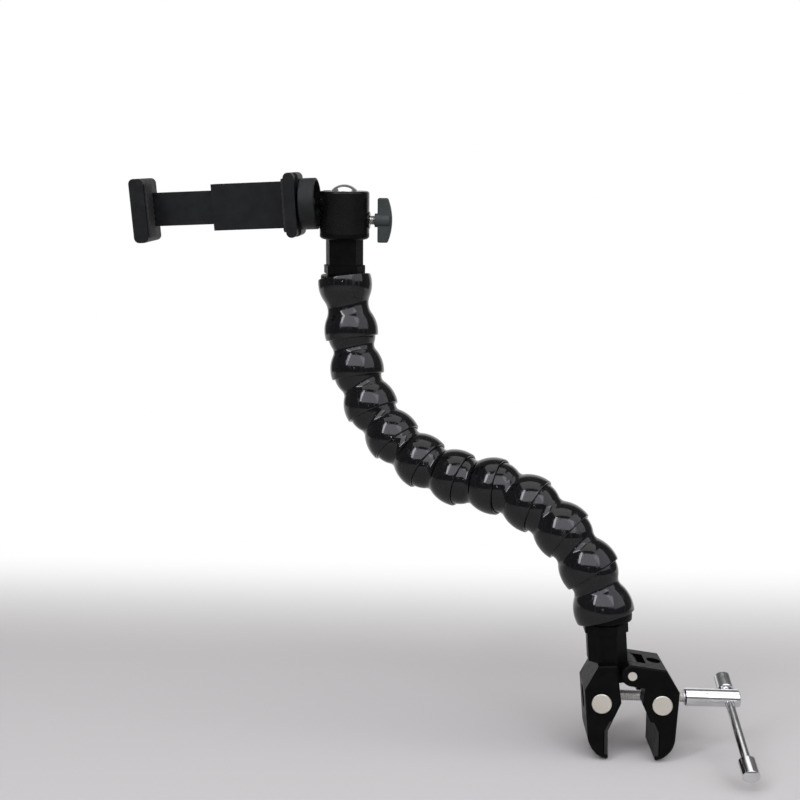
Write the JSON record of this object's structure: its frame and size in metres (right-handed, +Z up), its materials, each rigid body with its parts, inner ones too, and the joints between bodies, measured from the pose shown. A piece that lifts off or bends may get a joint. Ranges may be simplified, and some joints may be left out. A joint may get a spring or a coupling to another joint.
{
  "type": "phone gooseneck holder",
  "caption": "Bendable arm of ball-and-socket segments with a screw-tightened claw clamp at its foot and a ball head carrying a sprung phone clip at its top.",
  "frame": {"origin": "centre of the rail grip, midway between the two claw tips", "axes": "+X along the clamp screw towards its handle, +Y along the gripped rail, away from the viewer of the picture, +Z up"},
  "size_m": [0.2934, 0.1049, 0.2737],
  "materials": {
    "black_paint": "satin",
    "jaw_rubber": "matte",
    "bright_metal": "polished",
    "nickel": "satin",
    "arm_plastic": "glossy",
    "black_plastic": "matte",
    "seat_plastic": "matte",
    "brass": "satin"
  },
  "bodies": {
    "clamp_base": {"fixed_jaw": "black_paint", "fixed_jaw_pad": "jaw_rubber", "hinge_pin": "nickel", "lower_stud": "nickel", "lower_post": "black_paint"},
    "left_trunnion": {"left_trunnion": "nickel"},
    "handle": {"clamp_screw": "bright_metal", "screw_clips": "nickel", "handle_hub": "bright_metal"},
    "bar": {"tommy_bar": "bright_metal", "upper_bar_cap": "bright_metal", "lower_bar_cap": "bright_metal"},
    "moving_jaw": {"moving_jaw": "black_paint", "moving_jaw_pad": "jaw_rubber"},
    "right_trunnion": {"right_trunnion": "nickel"},
    "segment_01": {"segment_01": "arm_plastic"},
    "segment_02": {"segment_02": "arm_plastic"},
    "segment_03": {"segment_03": "arm_plastic"},
    "segment_04": {"segment_04": "arm_plastic"},
    "segment_05": {"segment_05": "arm_plastic"},
    "segment_06": {"segment_06": "arm_plastic"},
    "segment_07": {"segment_07": "arm_plastic"},
    "segment_08": {"segment_08": "arm_plastic"},
    "segment_09": {"segment_09": "arm_plastic"},
    "segment_10": {"segment_10": "arm_plastic"},
    "double_socket": {"double_socket": "arm_plastic"},
    "head": {"upper_post": "black_paint", "upper_stud": "nickel", "head_base": "black_paint", "head_housing": "black_paint", "ball_seat": "seat_plastic"},
    "lock_knob": {"lock_knob": "black_plastic", "lock_screw": "bright_metal"},
    "ball_stud": {"ball_stud": "bright_metal"},
    "lock_wheel": {"lock_wheel": "black_plastic"},
    "clip": {"clip_body": "black_plastic", "clip_insert": "brass", "clip_cover": "black_plastic", "cover_screws": "nickel", "clip_fixed_pad": "jaw_rubber", "lower_clip_spring": "nickel", "upper_clip_spring": "nickel"},
    "clip_slider": {"clip_slider": "black_plastic", "clip_slider_pad": "jaw_rubber"}
  },
  "joints": [
    {"name": "left_trunnion_pivot", "type": "hinge", "parent": "clamp_base", "child": "left_trunnion", "pos_m": [-0.01346, 0, 0.01886], "axis": [0, 1, 0], "range_deg": [-9.3, 5.9]},
    {"name": "handle_turn", "type": "hinge", "parent": "left_trunnion", "child": "handle", "pos_m": [0, 0, 0.01886], "axis": [-1, 0, 0], "range_deg": [-1899, 1197]},
    {"name": "bar_slide", "type": "slide", "parent": "handle", "child": "bar", "axis": [0, 0.9063, 0.4226], "range_m": [0, 0.0306]},
    {"name": "jaw_hinge", "type": "hinge", "parent": "clamp_base", "child": "moving_jaw", "pos_m": [0, 0, 0.032], "axis": [0, 1, 0], "range_deg": [-18.6, 11.8]},
    {"name": "right_trunnion_pivot", "type": "hinge", "parent": "moving_jaw", "child": "right_trunnion", "pos_m": [0.01346, 0, 0.01886], "axis": [0, 1, 0], "range_deg": [-5.9, 9.3]},
    {"name": "arm_turn", "type": "hinge", "parent": "clamp_base", "child": "segment_01", "pos_m": [-0.01113, 0, 0.05696], "axis": [-0.061, 0, 0.9981], "range_deg": [-180, 180]},
    {"name": "bend_02", "type": "hinge", "parent": "segment_01", "child": "segment_02", "pos_m": [-0.01717, 0.00244, 0.07587], "axis": [-0.3746, -0.9272, 0], "range_deg": [-37.5, 2.5]},
    {"name": "sway_03", "type": "hinge", "parent": "segment_02", "child": "segment_03", "pos_m": [-0.0282, 0.0069, 0.09195], "axis": [-0.6641, 0.2683, -0.6978], "range_deg": [-12.6, 12.6]},
    {"name": "bend_04", "type": "hinge", "parent": "segment_03", "child": "segment_04", "pos_m": [-0.04281, 0.0128, 0.10426], "axis": [-0.3746, -0.9272, 0], "range_deg": [-35.5, 4.5]},
    {"name": "sway_05", "type": "hinge", "parent": "segment_04", "child": "segment_05", "pos_m": [-0.05994, 0.01972, 0.11191], "axis": [-0.2321, 0.0938, -0.9681], "range_deg": [-12, 12]},
    {"name": "bend_06", "type": "hinge", "parent": "segment_05", "child": "segment_06", "pos_m": [-0.07837, 0.02717, 0.11418], "axis": [-0.3746, -0.9272, 0], "range_deg": [-8, 32]},
    {"name": "sway_07", "type": "hinge", "parent": "segment_06", "child": "segment_07", "pos_m": [-0.09595, 0.03427, 0.12052], "axis": [-0.4065, 0.1642, -0.8988], "range_deg": [-13.2, 13.2]},
    {"name": "bend_08", "type": "hinge", "parent": "segment_07", "child": "segment_08", "pos_m": [-0.11142, 0.04052, 0.13156], "axis": [-0.3746, -0.9272, 0], "range_deg": [-4.5, 35.5]},
    {"name": "sway_09", "type": "hinge", "parent": "segment_08", "child": "segment_09", "pos_m": [-0.12358, 0.04543, 0.14666], "axis": [-0.7776, 0.3142, -0.5446], "range_deg": [-12, 12]},
    {"name": "bend_10", "type": "hinge", "parent": "segment_09", "child": "segment_10", "pos_m": [-0.13142, 0.0486, 0.16478], "axis": [-0.3746, -0.9272, 0], "range_deg": [-5, 35]},
    {"name": "sway_11", "type": "hinge", "parent": "segment_10", "child": "double_socket", "pos_m": [-0.13464, 0.0499, 0.18448], "axis": [-0.9176, 0.3707, -0.1435], "range_deg": [-15, 15]},
    {"name": "head_turn", "type": "hinge", "parent": "double_socket", "child": "head", "pos_m": [-0.13818, 0.04972, 0.21276], "axis": [0.0275, -0.1736, 0.9844], "range_deg": [-180, 180]},
    {"name": "lock_knob_turn", "type": "hinge", "parent": "head", "child": "lock_knob", "pos_m": [-0.13736, 0.0445, 0.24239], "axis": [-0.9996, 0, 0.0279], "range_deg": [0, 360]},
    {"name": "ball_tilt", "type": "hinge", "parent": "head", "child": "ball_stud", "pos_m": [-0.13712, 0.04302, 0.25076], "axis": [0.0048, 0.9848, 0.1736], "range_deg": [0, 90]},
    {"name": "lock_wheel_turn", "type": "hinge", "parent": "ball_stud", "child": "lock_wheel", "pos_m": [-0.13712, 0.04302, 0.25076], "axis": [-0.9996, 0.0094, -0.0254], "range_deg": [0, 360]},
    {"name": "clip_turn", "type": "hinge", "parent": "ball_stud", "child": "clip", "pos_m": [-0.13712, 0.04302, 0.25076], "axis": [-0.9996, 0.0094, -0.0254], "range_deg": [-180, 180]},
    {"name": "jaw_slide", "type": "slide", "parent": "clip", "child": "clip_slider", "axis": [0.9996, -0.0094, 0.0254], "range_m": [-0.014, 0.012], "deforming": ["lower_clip_spring", "upper_clip_spring"]}
  ],
  "couplings": [
    {"joint": "jaw_hinge", "follows": "handle_turn", "ratio": 0.0096894},
    {"joint": "left_trunnion_pivot", "follows": "handle_turn", "ratio": 0.0048447},
    {"joint": "right_trunnion_pivot", "follows": "handle_turn", "ratio": -0.0048447}
  ]
}
